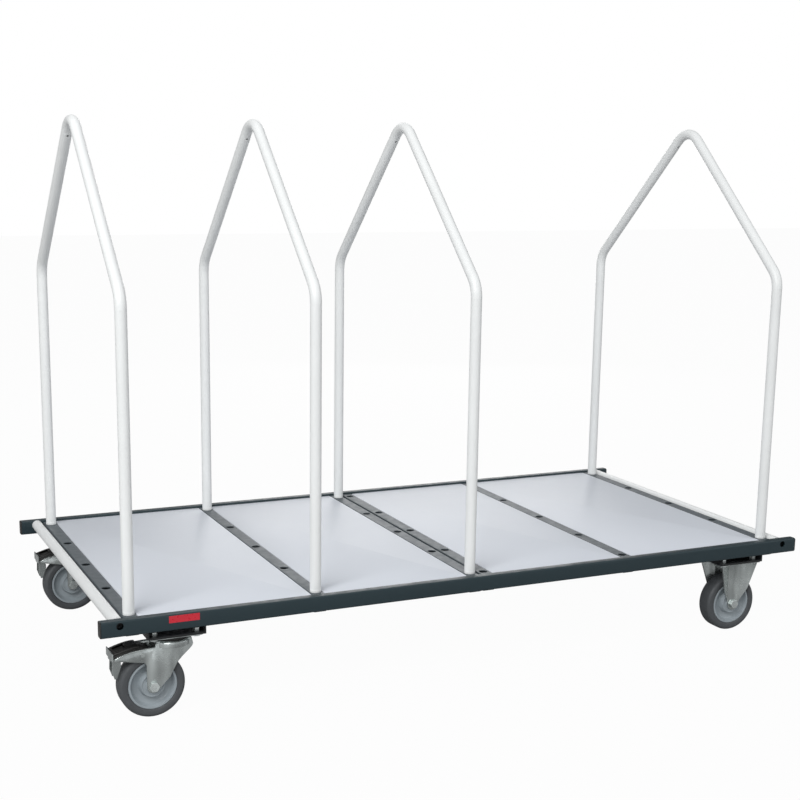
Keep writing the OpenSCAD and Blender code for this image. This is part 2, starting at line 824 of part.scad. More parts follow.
axle(castor_x, castor_y);  // far_right_axle
wheel(castor_x, castor_y);  // far_right_wheel
tyre(castor_x, castor_y);  // far_right_tyre
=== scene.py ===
import math

import bpy
from mathutils import Matrix, Vector


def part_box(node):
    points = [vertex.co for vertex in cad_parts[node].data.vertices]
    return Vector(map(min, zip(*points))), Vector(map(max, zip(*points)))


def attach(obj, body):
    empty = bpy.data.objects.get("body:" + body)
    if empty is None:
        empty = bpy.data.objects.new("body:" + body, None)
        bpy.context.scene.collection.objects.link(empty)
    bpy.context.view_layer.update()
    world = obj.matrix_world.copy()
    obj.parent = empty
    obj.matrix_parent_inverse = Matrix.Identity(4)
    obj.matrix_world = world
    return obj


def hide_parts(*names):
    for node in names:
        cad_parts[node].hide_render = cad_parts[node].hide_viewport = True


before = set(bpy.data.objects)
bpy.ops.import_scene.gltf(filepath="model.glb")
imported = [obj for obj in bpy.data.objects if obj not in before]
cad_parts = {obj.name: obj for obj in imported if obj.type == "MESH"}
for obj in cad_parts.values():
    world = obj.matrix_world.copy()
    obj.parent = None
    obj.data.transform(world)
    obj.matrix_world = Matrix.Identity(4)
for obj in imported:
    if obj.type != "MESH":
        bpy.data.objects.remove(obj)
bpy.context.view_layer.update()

bl_info = {
    "name": "Mattress Trolley",
    "version": (1, 0, 0),
    "blender": (4, 5, 0),
    "location": "3D View > Sidebar > Trolley",
    "description": "Builds a mattress trolley with tube hoops around its construction model",
    "category": "Object",
}


# Places read from the construction model

def middle(node):
    low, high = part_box(node)
    return (low + high) / 2


RAIL_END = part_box("near_rail")[0].x
SWIVEL = {side: middle(side + "_left_kingpin") for side in ("near", "far")}
WHEEL_PLACES = ("near_left", "far_left", "near_right", "far_right")
WHEELS = {place: middle(place + "_tyre") for place in WHEEL_PLACES}
TYRE_LOW, TYRE_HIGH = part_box("near_left_tyre")
WHEEL_RADIUS = TYRE_HIGH.z / 2

# Real sizes of the modelled pieces, in metres

TUBE_WALL = 0.002
HOOP_TUBE_RADIUS = 0.011
SOCKET_BORE = 0.018
ACCESS_BORE = 0.0136
BOLT_BORE = 0.0084
KINGPIN_BORE = 0.0122
PLUG_LENGTH = 0.014
PLUG_INSET = 0.0022
PLATE_UNDERSIDE = 0.157
TREAD_HALF_WIDTH = 0.0205
TREAD_WALL_INSIDE = 0.0184
TREAD_TAIL_HALF_WIDTH = 0.0186
COLLAR_HALF_WIDTH = 0.0135
SLOT_HALF_WIDTH = 0.0115

# Roundings, first of outlines and then of edges

CAP_CORNER = 0.004
PANEL_CORNER = 0.004
PLATE_CORNER = 0.008
SHOULDER_EDGE = 0.0028
TAIL_EDGE = 0.0012
TREAD_EDGE = 0.0009
SPIGOT_EDGE = 0.0009
PANEL_EDGE = 0.0008
BRACKET_EDGE = 0.0008
ARM_EDGE = 0.0008
CAP_EDGE = 0.0007
CHEEK_EDGE = 0.0007
SMALL_EDGE = 0.0006
FINE_EDGE = 0.0005
BOLT_EDGE = 0.0004

# How far a cutter reaches in front of a surface, into a wall and past the ends of a tube

CUT_BEFORE = 0.001
CUT_INTO = 0.004
CUT_PAST_END = 0.01

# Only edges sharper than this are rounded, and points closer than these gaps become one

SHARP_ANGLE = math.radians(35)
SPUN_GAP = 0.000005
NODE_GAP = 0.00001

# Axes as positions in a vector

ALONG_X, ALONG_Y, ALONG_Z = 0, 1, 2
NEARLY_PARALLEL = 0.98


class TrolleySizes(bpy.types.PropertyGroup):
    rail_edge: bpy.props.FloatProperty(
        name="Rail edge radius", description="Rounding of the long edges of the rails",
        default=0.0028, min=0.0005, max=0.004, unit="LENGTH")
    member_edge: bpy.props.FloatProperty(
        name="Cross member edge radius", description="Rounding of the edges of the cross members",
        default=0.0018, min=0.0005, max=0.004, unit="LENGTH")
    sheet_edge: bpy.props.FloatProperty(
        name="Sheet edge radius", description="Rounding of the edges of pressed sheet metal",
        default=0.0007, min=0.0002, max=0.0012, unit="LENGTH")
    tyre_shoulder: bpy.props.FloatProperty(
        name="Tyre shoulder", description="Rounding of the shoulders of the tyres",
        default=0.007, min=0.003, max=0.010, unit="LENGTH")


class TrolleyColours(bpy.types.PropertyGroup):
    frame_paint: bpy.props.FloatVectorProperty(
        name="Frame paint", description="Slate powder coat of the base frame",
        subtype="COLOR", size=3, default=(0.016, 0.030, 0.036), min=0, max=1)
    member_paint: bpy.props.FloatVectorProperty(
        name="Cross member paint", description="Slate powder coat of the cross members",
        subtype="COLOR", size=3, default=(0.075, 0.089, 0.099), min=0, max=1)
    hoop_paint: bpy.props.FloatVectorProperty(
        name="Hoop paint", description="Pale grey powder coat of the hoops and end tubes",
        subtype="COLOR", size=3, default=(0.738, 0.747, 0.740), min=0, max=1)
    deck: bpy.props.FloatVectorProperty(
        name="Deck board", description="Pale cool grey of the deck panels",
        subtype="COLOR", size=3, default=(0.588, 0.613, 0.660), min=0, max=1)
    tyre: bpy.props.FloatVectorProperty(
        name="Tyre rubber", description="Dark grey of the solid tyres",
        subtype="COLOR", size=3, default=(0.055, 0.059, 0.063), min=0, max=1)
    rim: bpy.props.FloatVectorProperty(
        name="Wheel plastic", description="Blue-grey of the wheel centres",
        subtype="COLOR", size=3, default=(0.275, 0.31, 0.33), min=0, max=1)
    zinc: bpy.props.FloatVectorProperty(
        name="Zinc plate", description="Zinc plating of the forks and plates",
        subtype="COLOR", size=3, default=(0.440, 0.469, 0.461), min=0, max=1)
    label: bpy.props.FloatVectorProperty(
        name="Label film", description="Plain label on the near rail",
        subtype="COLOR", size=3, default=(0.50, 0.015, 0.030), min=0, max=1)


# Materials

BLACK_PLASTIC = (0.014, 0.013, 0.012)
BLACK_STEEL = (0.010, 0.011, 0.012)
# Brighter zinc of the fasteners, also used as a painted highlight on the edges of the fork arms
BRIGHT_ZINC_AND_HIGHLIGHT_GAIN = 1.45


def new_material(name, colour, roughness, metallic=0.0):
    material = bpy.data.materials.new(name)
    material.use_nodes = True
    nodes = material.node_tree.nodes
    shader = nodes["Principled BSDF"]
    shader.inputs["Base Color"].default_value = (*colour, 1)
    shader.inputs["Roughness"].default_value = roughness
    shader.inputs["Metallic"].default_value = metallic
    place = nodes.new("ShaderNodeTexCoord")
    return material, nodes, material.node_tree.links, shader, place.outputs["Object"]


def noise(nodes, links, vector, scale, detail=3.0, stretch=None):
    if stretch is not None:
        mapping = nodes.new("ShaderNodeMapping")
        mapping.inputs["Scale"].default_value = stretch
        links.new(vector, mapping.inputs["Vector"])
        vector = mapping.outputs["Vector"]
    texture = nodes.new("ShaderNodeTexNoise")
    texture.inputs["Scale"].default_value = scale
    texture.inputs["Detail"].default_value = detail
    links.new(vector, texture.inputs["Vector"])
    return texture.outputs["Fac"]


def between(nodes, links, factor, low, high, value_low=0.35, value_high=0.65):
    ramp = nodes.new("ShaderNodeMapRange")
    ramp.inputs["From Min"].default_value = value_low
    ramp.inputs["From Max"].default_value = value_high
    ramp.inputs["To Min"].default_value = low
    ramp.inputs["To Max"].default_value = high
    links.new(factor, ramp.inputs["Value"])
    return ramp.outputs["Result"]


def tint(nodes, links, shader, factor, colour, dark, light):
    mix = nodes.new("ShaderNodeMix")
    mix.data_type = "RGBA"
    mix.inputs[6].default_value = (*[c * dark for c in colour], 1)
    mix.inputs[7].default_value = (*[min(1.0, c * light) for c in colour], 1)
    links.new(factor, mix.inputs[0])
    links.new(mix.outputs[2], shader.inputs["Base Color"])


def shine(nodes, links, shader, place, scale, low, high, detail=3.0):
    texture = noise(nodes, links, place, scale, detail)
    links.new(between(nodes, links, texture, low, high), shader.inputs["Roughness"])


def bumped(nodes, links, height, shader, strength, distance):
    bump = nodes.new("ShaderNodeBump")
    bump.inputs["Strength"].default_value = strength
    bump.inputs["Distance"].default_value = distance
    links.new(height, bump.inputs["Height"])
    links.new(bump.outputs["Normal"], shader.inputs["Normal"])


def powder_coat(name, colour, roughness=0.42, peel=0.12, gloss=0.5):
    material, nodes, links, shader, place = new_material(name, colour, roughness)
    shader.inputs["Specular IOR Level"].default_value = gloss
    clouds = noise(nodes, links, place, scale=9.0, detail=4.0)
    tint(nodes, links, shader, clouds, colour, dark=0.94, light=1.06)
    shine(nodes, links, shader, place, 60.0, low=roughness - 0.05, high=roughness + 0.07)
    if peel:
        grain = noise(nodes, links, place, scale=420.0, detail=2.0)
        bumped(nodes, links, grain, shader, strength=peel, distance=0.0002)
    return material


def board(name, colour):
    material, nodes, links, shader, place = new_material(name, colour, 0.46)
    clouds = noise(nodes, links, place, scale=3.0, detail=5.0)
    tint(nodes, links, shader, clouds, colour, dark=0.975, light=1.02)
    shine(nodes, links, shader, place, 25.0, low=0.45, high=0.48, detail=5.0)
    grain = noise(nodes, links, place, scale=1900.0, detail=2.0)
    bumped(nodes, links, grain, shader, strength=0.10, distance=0.0001)
    return material


def zinc_plate(name, colour, roughness):
    """Plated sheet with soft upright streaks of painted reflection, lighter and darker, as a bright studio
    would leave on it
    """
    material, nodes, links, shader, place = new_material(name, colour, roughness, 0.9)
    painted_reflection_bands = noise(nodes, links, place, scale=34.0, detail=2.0, stretch=(1.0, 1.0, 0.22))
    clear_painted_reflection_bands = between(nodes, links, painted_reflection_bands, 0.0, 1.0)
    # Painted reflection: upright streaks that darken and lighten the plating
    tint(nodes, links, shader, clear_painted_reflection_bands, colour, dark=0.70, light=1.32)
    shine(nodes, links, shader, place, 90.0, low=roughness - 0.07, high=roughness + 0.10)
    grain = noise(nodes, links, place, scale=700.0)
    bumped(nodes, links, grain, shader, strength=0.10, distance=0.0002)
    return material


def rubber(name, colour):
    material, nodes, links, shader, place = new_material(name, colour, 0.62)
    clouds = noise(nodes, links, place, scale=30.0, detail=5.0)
    tint(nodes, links, shader, clouds, colour, dark=0.86, light=1.16)
    shine(nodes, links, shader, place, 120.0, low=0.54, high=0.74)
    grain = noise(nodes, links, place, scale=900.0)
    bumped(nodes, links, grain, shader, strength=0.25, distance=0.0002)
    return material


def moulded(name, colour, roughness, texture=0.15):
    material, nodes, links, shader, place = new_material(name, colour, roughness)
    clouds = noise(nodes, links, place, scale=45.0, detail=4.0)
    tint(nodes, links, shader, clouds, colour, dark=0.92, light=1.08)
    shine(nodes, links, shader, place, 150.0, low=roughness - 0.05, high=roughness + 0.08)
    grain = noise(nodes, links, place, scale=900.0, detail=2.0)
    bumped(nodes, links, grain, shader, strength=texture, distance=0.0001)
    return material


MATERIALS = {}


def make_materials(colours):
    # Brighter zinc for the fasteners, and a painted highlight where it is put on the fork arm edges
    bright_zinc_and_painted_highlight = [min(1, BRIGHT_ZINC_AND_HIGHLIGHT_GAIN * c) for c in colours.zinc]
    MATERIALS["frame"] = powder_coat("slate_powder_coat", colours.frame_paint, gloss=0.35)
    MATERIALS["member"] = powder_coat("slate_powder_coat_members", colours.member_paint, 0.48)
    MATERIALS["hoop"] = powder_coat("pale_grey_powder_coat", colours.hoop_paint, 0.38, peel=0)
    MATERIALS["deck"] = board("pale_deck_board", colours.deck)
    MATERIALS["zinc"] = zinc_plate("zinc_plated_sheet", colours.zinc, 0.20)
    MATERIALS["bright_zinc_and_painted_highlight"] = zinc_plate("bright_zinc_fasteners", bright_zinc_and_painted_highlight, 0.26)
    MATERIALS["tyre"] = rubber("grey_solid_rubber", colours.tyre)
    MATERIALS["rim"] = moulded("blue_grey_nylon", colours.rim, 0.34)
    MATERIALS["black"] = moulded("black_plastic", BLACK_PLASTIC, 0.45)
    MATERIALS["black_steel"] = powder_coat("black_painted_steel", BLACK_STEEL, 0.45, gloss=0.35)
    MATERIALS["label"] = moulded("red_label_film", colours.label, 0.30, 0.03)


# Modelling helpers

def deselect():
    if bpy.context.mode != "OBJECT":
        bpy.ops.object.mode_set(mode="OBJECT")
    bpy.ops.object.select_all(action="DESELECT")


def activate(obj):
    deselect()
    obj.select_set(True)
    bpy.context.view_layer.objects.active = obj


def apply_modifier(obj, modifier):
    activate(obj)
    bpy.ops.object.modifier_apply(modifier=modifier.name)


def box(name, low, high):
    low, high = Vector(low), Vector(high)
    deselect()
    bpy.ops.mesh.primitive_cube_add(size=1, location=(low + high) / 2, scale=high - low)
    obj = bpy.context.object
    obj.name = name
    bpy.ops.object.transform_apply(location=True, rotation=True, scale=True)
    return obj


def rod(name, start, end, diameter, sides=48):
    start, end = Vector(start), Vector(end)
    deselect()
    bpy.ops.mesh.primitive_cylinder_add(
        vertices=sides, radius=diameter / 2, depth=(end - start).length, location=(start + end) / 2,
        rotation=(end - start).to_track_quat("Z", "Y").to_euler())
    obj = bpy.context.object
    obj.name = name
    bpy.ops.object.transform_apply(location=True, rotation=True, scale=True)
    return obj


def loop(name, points):
    """Closed line through the points, made from a circle with as many corners"""
    deselect()
    bpy.ops.mesh.primitive_circle_add(vertices=len(points), radius=0.01)
    obj = bpy.context.object
    obj.name = name
    for vertex, point in zip(obj.data.vertices, points):
        vertex.co = point
    return obj


def edit_all(obj):
    activate(obj)
    bpy.ops.object.mode_set(mode="EDIT")
    bpy.ops.mesh.select_all(action="SELECT")


def close(obj):
    bpy.ops.mesh.select_all(action="SELECT")
    bpy.ops.mesh.normals_make_consistent(inside=False)
    bpy.ops.object.mode_set(mode="OBJECT")
    return obj


def spun(name, centre, axis, profile, steps=96):
    """Solid of revolution from a closed profile of (radius, height along the axis)"""
    along = Vector(axis)
    obj = loop(name, [centre + Vector((r, 0, 0)) + along * h for r, h in profile])
    edit_all(obj)
    bpy.ops.mesh.spin(steps=steps, angle=2 * math.pi, center=centre, axis=axis)
    bpy.ops.mesh.select_all(action="SELECT")
    bpy.ops.mesh.remove_doubles(threshold=SPUN_GAP)
    return close(obj)


def plate(name, points, y_low, y_high):
    """Flat sheet with an outline in X and Z"""
    obj = loop(name, [Vector((x, y_low, z)) for x, z in points])
    edit_all(obj)
    bpy.ops.mesh.edge_face_add()
    bpy.ops.mesh.extrude_region_move(TRANSFORM_OT_translate={"value": (0, y_high - y_low, 0)})
    return close(obj)


def round_edges(obj, along, radius, segments=4):
    """Bevel only the edges that run along one axis"""
    activate(obj)
    mesh = obj.data
    for face in mesh.polygons:
        face.select = False
    for vertex in mesh.vertices:
        vertex.select = False
    for edge in mesh.edges:
        span = mesh.vertices[edge.vertices[1]].co - mesh.vertices[edge.vertices[0]].co
        edge.select = abs(span[along]) > NEARLY_PARALLEL * span.length
    bpy.context.tool_settings.mesh_select_mode = (False, True, False)
    bpy.ops.object.mode_set(mode="EDIT")
    bpy.ops.mesh.bevel(offset=radius, segments=segments)
    bpy.ops.object.mode_set(mode="OBJECT")
    bpy.context.tool_settings.mesh_select_mode = (True, False, False)
    return obj


def arc(x, z, radius, start, end, steps):
    angles = [math.radians(start + (end - start) * i / steps) for i in range(steps + 1)]
    return [(x + radius * math.cos(a), z + radius * math.sin(a)) for a in angles]


def soften(obj, width, segments=3):
    bevel = obj.modifiers.new("edges", "BEVEL")
    bevel.width = width
    bevel.segments = segments
    bevel.limit_method = "ANGLE"
    bevel.angle_limit = SHARP_ANGLE
    bevel.harden_normals = True
    apply_modifier(obj, bevel)
    return obj


def cut(obj, cutter):
    boolean = obj.modifiers.new("cut", "BOOLEAN")
    boolean.operation = "DIFFERENCE"
    boolean.solver = "EXACT"
    boolean.object = cutter
    apply_modifier(obj, boolean)
    bpy.data.objects.remove(cutter)


def smooth(obj, angle=35):
    activate(obj)
    bpy.ops.object.shade_smooth_by_angle(angle=math.radians(angle))
    return obj


def join(first, others):
    activate(first)
    for other in others:
        other.select_set(True)
    bpy.ops.object.join()
    return first


def copied(obj, name, offset):
    twin = obj.copy()
    twin.data = obj.data.copy()
    twin.name = name
    bpy.context.scene.collection.objects.link(twin)
    twin.data.transform(Matrix.Translation(offset))
    return twin


def dressed(obj, material, body, replaces=()):
    obj.data.materials.clear()
    obj.data.materials.append(MATERIALS[material])
    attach(obj, body)
    if replaces:
        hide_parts(*replaces)


def paint_node(node, material, bevel=0.0):
    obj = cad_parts[node]
    obj.data.materials.clear()
    obj.data.materials.append(MATERIALS[material])
    if bevel:
        weld = obj.modifiers.new("weld", "WELD")
        weld.merge_threshold = NODE_GAP
        rounding = obj.modifiers.new("edges", "BEVEL")
        rounding.width = bevel
        rounding.segments = 2
        rounding.limit_method = "ANGLE"
        rounding.angle_limit = SHARP_ANGLE
        rounding.harden_normals = True


# Base frame, deck and hoops

def side_rail(name, node, side, sizes):
    """Rectangular tube with the holes of the end tube bolts, side -1 for near and 1 for far"""
    low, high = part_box(node)
    obj = round_edges(box(name, low, high), ALONG_X, sizes.rail_edge)
    cut(obj, box("cavity", low + Vector((-CUT_PAST_END, TUBE_WALL, TUBE_WALL)),
                 high + Vector((CUT_PAST_END, -TUBE_WALL, -TUBE_WALL))))
    outer, inner = (low.y, high.y) if side < 0 else (high.y, low.y)
    for tube in ("left_end_tube", "right_end_tube"):
        centre = middle(tube)
        # The outer wall lets the bolt head through, the inner wall only its shank
        for wall_y, inward, bore in ((outer, -side, ACCESS_BORE), (inner, side, BOLT_BORE)):
            start = (centre.x, wall_y - inward * CUT_BEFORE, centre.z)
            end = (centre.x, wall_y + inward * CUT_INTO, centre.z)
            cut(obj, rod("hole", start, end, bore))
    if side < 0:
        label_low, label_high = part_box("label_plate")
        cut(obj, box("label_pocket", label_low - Vector((0, CUT_BEFORE, 0)), label_high))
    return smooth(obj, 30)


def end_caps():
    low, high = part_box("rail_end_caps")
    thick = RAIL_END - low.x
    caps = []
    for end in (-1, 1):
        for rail in ("near_rail", "far_rail"):
            rail_low, rail_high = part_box(rail)
            x_out = low.x if end < 0 else high.x
            x_in = x_out - end * thick
            x_tip = x_in - end * PLUG_LENGTH
            cap = box("cap", (min(x_out, x_in), rail_low.y, rail_low.z),
                      (max(x_out, x_in), rail_high.y, rail_high.z))
            round_edges(cap, ALONG_X, CAP_CORNER, 5)
            soften(cap, CAP_EDGE)
            plug = box("plug", (min(x_in, x_tip), rail_low.y + PLUG_INSET, rail_low.z + PLUG_INSET),
                       (max(x_in, x_tip), rail_high.y - PLUG_INSET, rail_high.z - PLUG_INSET))
            caps.append(join(cap, [plug]))
    return smooth(join(caps[0], caps[1:]), 30)


def cross_member(name, node, sizes):
    """Rectangular tube with five vertical sockets"""
    low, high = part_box(node)
    obj = round_edges(box(name, low, high), ALONG_Y, sizes.member_edge)
    cut(obj, box("cavity", low + Vector((TUBE_WALL, -CUT_PAST_END, TUBE_WALL)),
                 high + Vector((-TUBE_WALL, CUT_PAST_END, -TUBE_WALL))))
    centre = (low + high) / 2
    hoop_low, hoop_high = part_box("hoop_1")
    pitch = (hoop_high.y - hoop_low.y - 2 * HOOP_TUBE_RADIUS) / 4
    for step in range(-2, 3):
        start = (centre.x, step * pitch, low.z - CUT_BEFORE)
        end = (centre.x, step * pitch, high.z + CUT_BEFORE)
        cut(obj, rod("socket", start, end, SOCKET_BORE, 64))
    return smooth(obj, 30)


class TROLLEY_OT_frame(bpy.types.Operator):
    """Make the rails, end caps and cross members, and finish the end tubes and the label"""
    bl_idname = "trolley.frame"
    bl_label = "Base frame"

    def execute(self, context):
        sizes = context.scene.trolley_sizes
        for name, node, side in (("side_rail_near", "near_rail", -1), ("side_rail_far", "far_rail", 1)):
            dressed(side_rail(name, node, side, sizes), "frame", "base", (node,))
        caps = end_caps()
        caps.name = "rail_caps"
        dressed(caps, "black", "base", ("rail_end_caps",))
        first = cross_member("strip_1", "cross_member_1", sizes)
        others = []
        for number in range(2, 7):
            node = f"cross_member_{number}"
            offset = middle(node) - middle("cross_member_1")
            others.append((copied(first, f"strip_{number}", offset), node))
        for obj, node in [(first, "cross_member_1"), *others]:
            dressed(obj, "member", "base", (node,))
        for node in ("left_end_tube", "right_end_tube"):
            paint_node(node, "hoop")
        paint_node("panel_ledges", "frame")
        paint_node("end_tube_bolts", "black_steel")
        paint_node("label_plate", "label")
        return {"FINISHED"}


class TROLLEY_OT_deck(bpy.types.Operator):
    """Make the four deck panels"""
    bl_idname = "trolley.deck"
    bl_label = "Deck panels"

    def execute(self, context):
        for number in range(1, 5):
            node = f"deck_panel_{number}"
            obj = box(f"deck_board_{number}", *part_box(node))
            round_edges(obj, ALONG_Z, PANEL_CORNER)
            soften(obj, PANEL_EDGE)
            dressed(smooth(obj, 30), "deck", "base", (node,))
        return {"FINISHED"}


class TROLLEY_OT_hoops(bpy.types.Operator):
    """Finish the four tube hoops and their spigots"""
    bl_idname = "trolley.hoops"
    bl_label = "Hoops"

    def execute(self, context):
        for number in range(1, 5):
            paint_node(f"hoop_{number}", "hoop")
            paint_node(f"hoop_{number}_spigots", "hoop", SPIGOT_EDGE)
        return {"FINISHED"}


# Castors, with outlines in millimetres

# Inner and outer face of each cheek and arm edge, counted from the middle of the fork
CHEEK_FACES = (22.0, 25.0)
ARM_EDGE_FACES = (21.9, 27.2)


def metres(points):
    return [(across / 1000, up / 1000) for across, up in points]


def beside(axis, points):
    """Outline in X and Z, with X counted from the swivel axis"""
    return [(axis.x + x, z) for x, z in metres(points)]


def wheel_centre(name, centre):
    # Radius and half thickness, from the bore along the web to the seat of the tyre
    half = [(6.05, 21.5), (13.0, 21.5), (14.0, 20.8), (14.6, 18.2), (19.2, 17.8), (20.2, 18.6),
            (21.8, 18.6), (22.6, 17.4), (23.6, 8.5), (26.0, 5.6), (35.5, 6.4), (39.4, 9.6), (41.4, 15.6),
            (42.4, 17.0), (45.6, 17.0), (46.5, 16.2)]
    profile = metres([(r, -h) for r, h in half] + half[::-1])
    return smooth(spun(name, centre, (0, 1, 0), profile), 40)


def solid_tyre(name, centre, sizes):
    half_width = (TYRE_HIGH.y - TYRE_LOW.y) / 2
    corner = sizes.tyre_shoulder
    # The seat on the wheel centre and the side wall, then the rounded shoulder and half of the tread
    side = [*metres([(46.5, 16.0), (47.2, 17.6)]), (0.0488, half_width)]
    side += arc(WHEEL_RADIUS - corner, half_width - corner, corner, 90, 12, 7)
    side += [(WHEEL_RADIUS, 0.3 * half_width)]
    profile = [(r, -h) for r, h in side] + side[::-1]
    return smooth(spun(name, centre, (0, 1, 0), profile, 128), 40)


def swivel_fork(name, axis):
    """Crown with two cheeks and shoulders, and apart from it the edges of its arms, which carry a painted
    highlight
    """
    def here(dx, dy, dz):
        return Vector((axis.x, axis.y, 0)) + Vector((dx, dy, dz)) / 1000

    def sheet(piece, line, side, inner, outer):
        y_low, y_high = sorted((side * inner, side * outer))
        return plate(piece, beside(axis, line), axis.y + y_low / 1000, axis.y + y_high / 1000)

    crown_line = [(6.1, 145.6), (6.1, 149.6), (31.0, 149.6), (34.5, 148.9), (37.0, 147.0), (38.0, 144.2),
                  (38.0, 137.1), (37.5, 136.6), (35.5, 136.6), (35.0, 137.1), (35.0, 143.4), (34.0, 145.0),
                  (31.5, 145.6)]
    crown = spun(name, here(0, 0, 0), (0, 0, 1), metres(crown_line))
    cheek_line = [(34, 145.6), (36, 138), (34.5, 133), (30, 128), (22, 121), (13, 112.5), (6, 104.5),
                  (-1, 92), (-8, 78)]
    cheek_line += arc(-40, 62.5, 12.5, -24, -180, 14)
    cheek_line += [(-53, 90), (-53, 101)]
    cheek_line += arc(-61, 103, 8, 10, 85, 6)
    cheek_line += [(-75, 113.5), (-95, 117.5), (-112, 120.5), (-112, 125.5), (-102, 129.6), (-92, 133),
                   (-81, 135.6), (-70, 137), (-50, 138), (-36, 138.4), (-34, 145.6)]
    # Strip along the upper edge of each arm, made apart to carry a painted highlight in brighter zinc
    highlight_edge_line = [(-112, 125.6), (-102, 129.7), (-92, 133.1), (-81, 135.7), (-70, 137.1), (-50, 138.1),
                 (-37, 138.5), (-37, 136.1), (-50, 135.7), (-70, 134.7), (-81, 133.3), (-92, 130.7),
                 (-102, 127.3), (-112, 123.2)]
    cheeks = []
    edges = []
    for side in (-1, 1):
        cheeks.append(soften(sheet("cheek", cheek_line, side, *CHEEK_FACES), CHEEK_EDGE))
        edges.append(soften(sheet("edge", highlight_edge_line, side, *ARM_EDGE_FACES), ARM_EDGE))
    shoulders = soften(box("shoulders", here(-34, -25, 143.6), here(34.5, 25, 149.4)), SHOULDER_EDGE, 4)
    cut(shoulders, rod("hole", here(0, 0, 140), here(0, 0, 155), KINGPIN_BORE))
    cut(shoulders, box("hollow", here(-40, -21.9, 140), here(40, 21.9, 145.7)))
    painted_highlight_edges = smooth(join(edges[0], edges[1:]), 35)
    painted_highlight_edges.name = "arm_edges_near_left"
    return smooth(join(crown, [*cheeks, shoulders]), 35), painted_highlight_edges


def top_plate(name, axis, low, high):
    obj = box(name, (low.x, low.y, PLATE_UNDERSIDE), high)
    round_edges(obj, ALONG_Z, PLATE_CORNER, 5)
    soften(obj, FINE_EDGE, 2)
    race_line = [(6.1, 157.2), (6.1, 153.0), (27.0, 153.0), (29.4, 153.9), (30.0, 155.2), (31.6, 157.2)]
    race = spun("race", Vector((axis.x, axis.y, 0)), (0, 0, 1), metres(race_line))
    return smooth(join(obj, [race]), 35)


def pedal_tread(name, axis):
    """Plastic tread with a framed slot, side walls and a tail over the arms of the fork"""
    def slab(piece, line, y_low, y_high):
        return plate(piece, beside(axis, line), axis.y + y_low, axis.y + y_high)

    tread_line = [(-113.8, 132.8), (-102, 136.6), (-90, 139.9), (-80, 141.9), (-72, 142.7), (-66, 142.6),
                  (-64.6, 141.6), (-64.6, 139.0), (-80, 138.5), (-90, 136.0), (-102, 132.6),
                  (-113.8, 129.1)]
    collar_line = [(-111, 131), (-111, 134.4), (-87, 141.4), (-87, 138)]
    slot_line = [(-109, 131.2), (-109, 136), (-89, 143), (-89, 137.3)]
    wall_line = [(-113.8, 129.2), (-102, 132.7), (-90, 136.1), (-80, 138.6), (-64.8, 139.2), (-56, 137.0),
                 (-46, 134.0), (-46, 130.2), (-60, 130), (-86, 127), (-113.8, 124)]
    tail_line = [(-66, 140.4), (-66, 134), (-47, 131.2), (-46.4, 134.2), (-56, 138.4)]
    tread = soften(slab(name, tread_line, -TREAD_HALF_WIDTH, TREAD_HALF_WIDTH), TREAD_EDGE)
    collar = soften(slab("collar", collar_line, -COLLAR_HALF_WIDTH, COLLAR_HALF_WIDTH), FINE_EDGE, 2)
    for piece in (tread, collar):
        cut(piece, slab("slot", slot_line, -SLOT_HALF_WIDTH, SLOT_HALF_WIDTH))
    walls = []
    for side in (-1, 1):
        y_low, y_high = sorted((side * TREAD_WALL_INSIDE, side * TREAD_HALF_WIDTH))
        walls.append(soften(slab("wall", wall_line, y_low, y_high), SMALL_EDGE, 2))
    tail = soften(slab("tail", tail_line, -TREAD_TAIL_HALF_WIDTH, TREAD_TAIL_HALF_WIDTH), TAIL_EDGE)
    return smooth(join(tread, [collar, tail, *walls]), 35)


